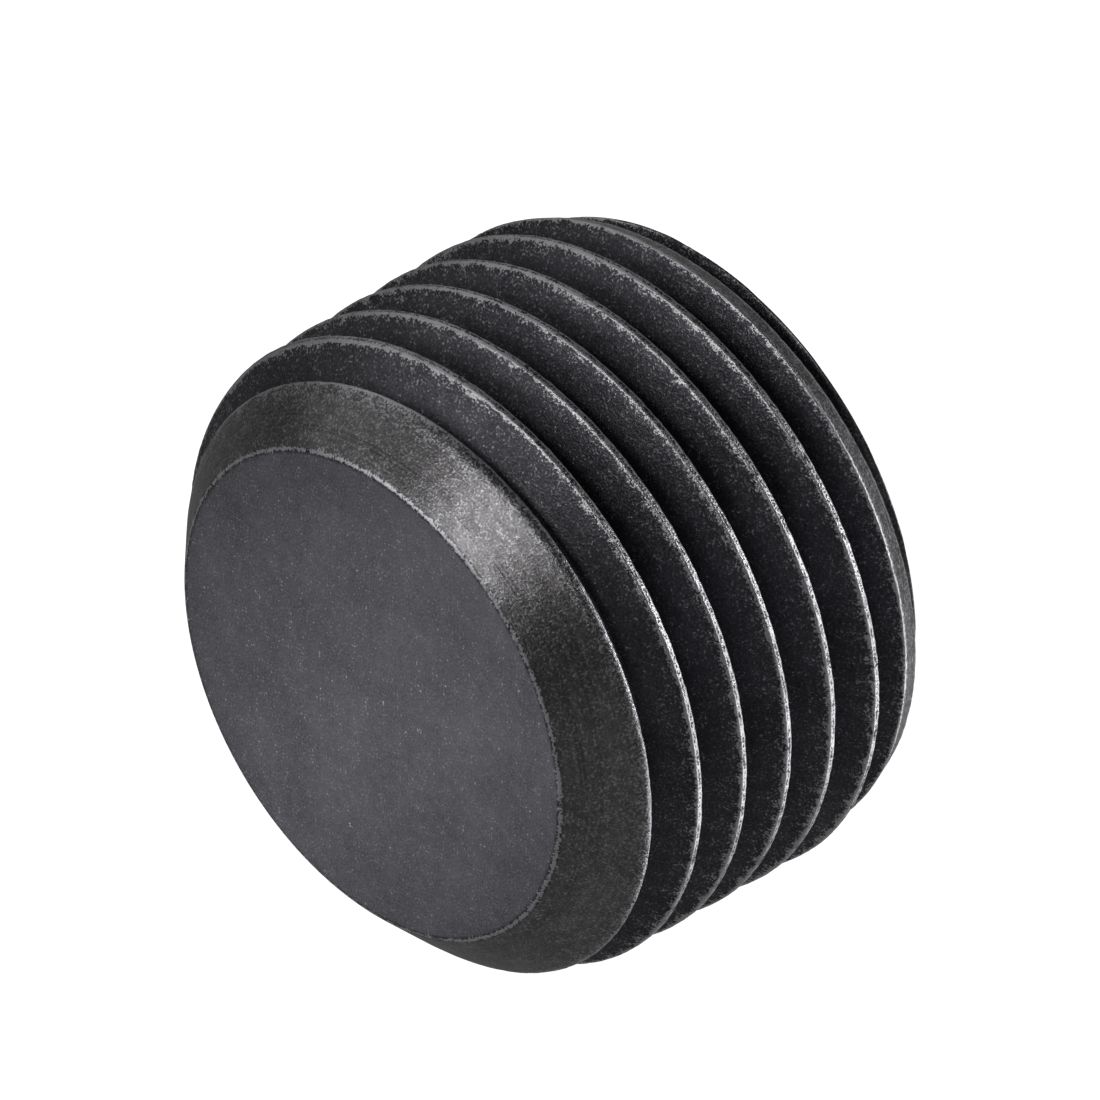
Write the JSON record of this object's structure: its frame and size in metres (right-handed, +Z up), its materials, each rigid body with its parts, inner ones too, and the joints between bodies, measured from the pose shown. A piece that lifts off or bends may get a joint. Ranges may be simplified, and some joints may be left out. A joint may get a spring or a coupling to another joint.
{
  "type": "taper-threaded hex socket pipe plug",
  "caption": "Black steel pipe plug with a tapered outside thread, a flat chamfered small end and a hex key socket in its large end.",
  "frame": {"origin": "centre of the small end's flat face, on the thread's axis, which is the plane a taper thread is measured from", "axes": "+Y along the thread's axis from the small end to the large end, +Z up with the plug lying on its side"},
  "size_m": [0.0212, 0.0143, 0.0212],
  "materials": {
    "black_oxide_steel": "black oxide, satin, worn bright on the thread's crests"
  },
  "bodies": {
    "root": {"plug_body": "black_oxide_steel"}
  },
  "joints": []
}
